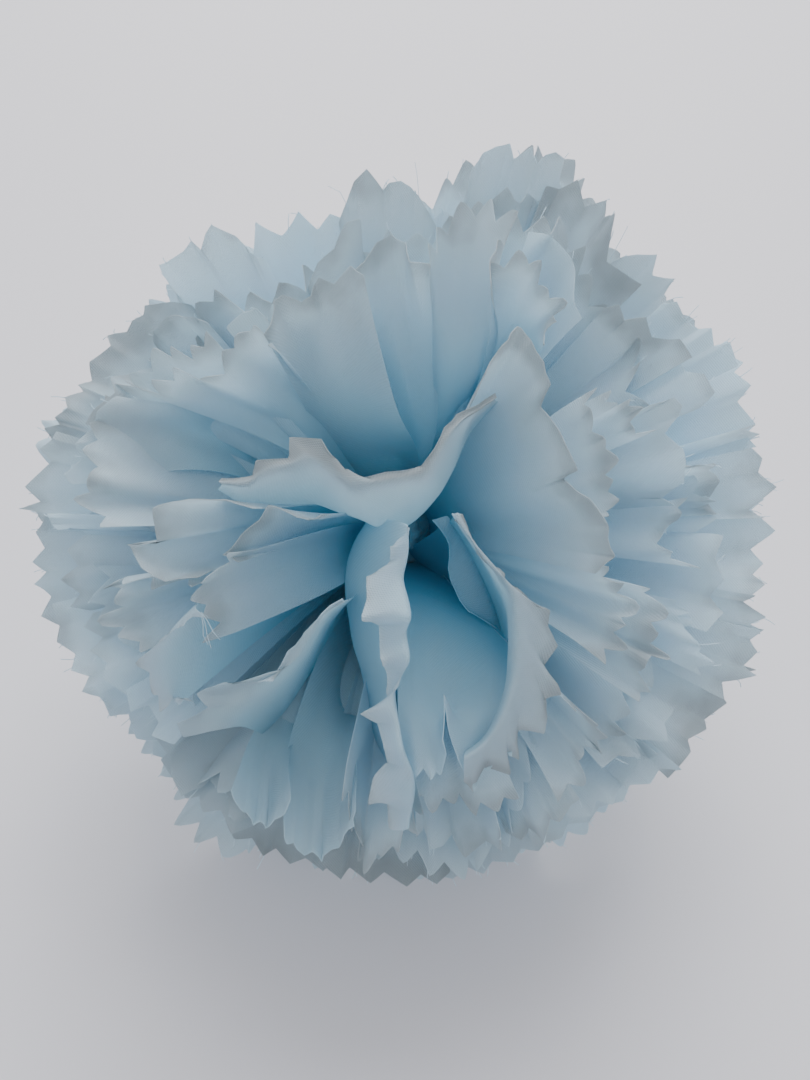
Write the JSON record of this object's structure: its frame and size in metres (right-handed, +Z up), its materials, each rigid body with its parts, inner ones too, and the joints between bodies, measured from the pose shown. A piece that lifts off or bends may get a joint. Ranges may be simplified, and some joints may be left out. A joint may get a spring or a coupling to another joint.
{
  "type": "artificial carnation flower head",
  "caption": "Full round carnation head of pinked satin petals in nested tiers, held by a long tubular calyx with pointed sepals and a short cut stub.",
  "frame": {"origin": "on the surface that the head lies on, under the middle of its bounding box", "axes": "+Z up from that surface, -Y towards the side that the bloom's face leans to, +X to the right of someone who looks at the face"},
  "size_m": [0.092, 0.079, 0.0688],
  "materials": {
    "petal_cloth": "satin",
    "calyx_plastic": "matte"
  },
  "bodies": {
    "root": {"calyx": "calyx_plastic", "petal_tier_1": "petal_cloth", "petal_tier_2": "petal_cloth", "petal_tier_3": "petal_cloth", "petal_tier_4": "petal_cloth", "petal_tier_5": "petal_cloth", "petal_tier_6": "petal_cloth", "petal_tier_7": "petal_cloth", "petal_tier_8": "petal_cloth"}
  },
  "joints": []
}
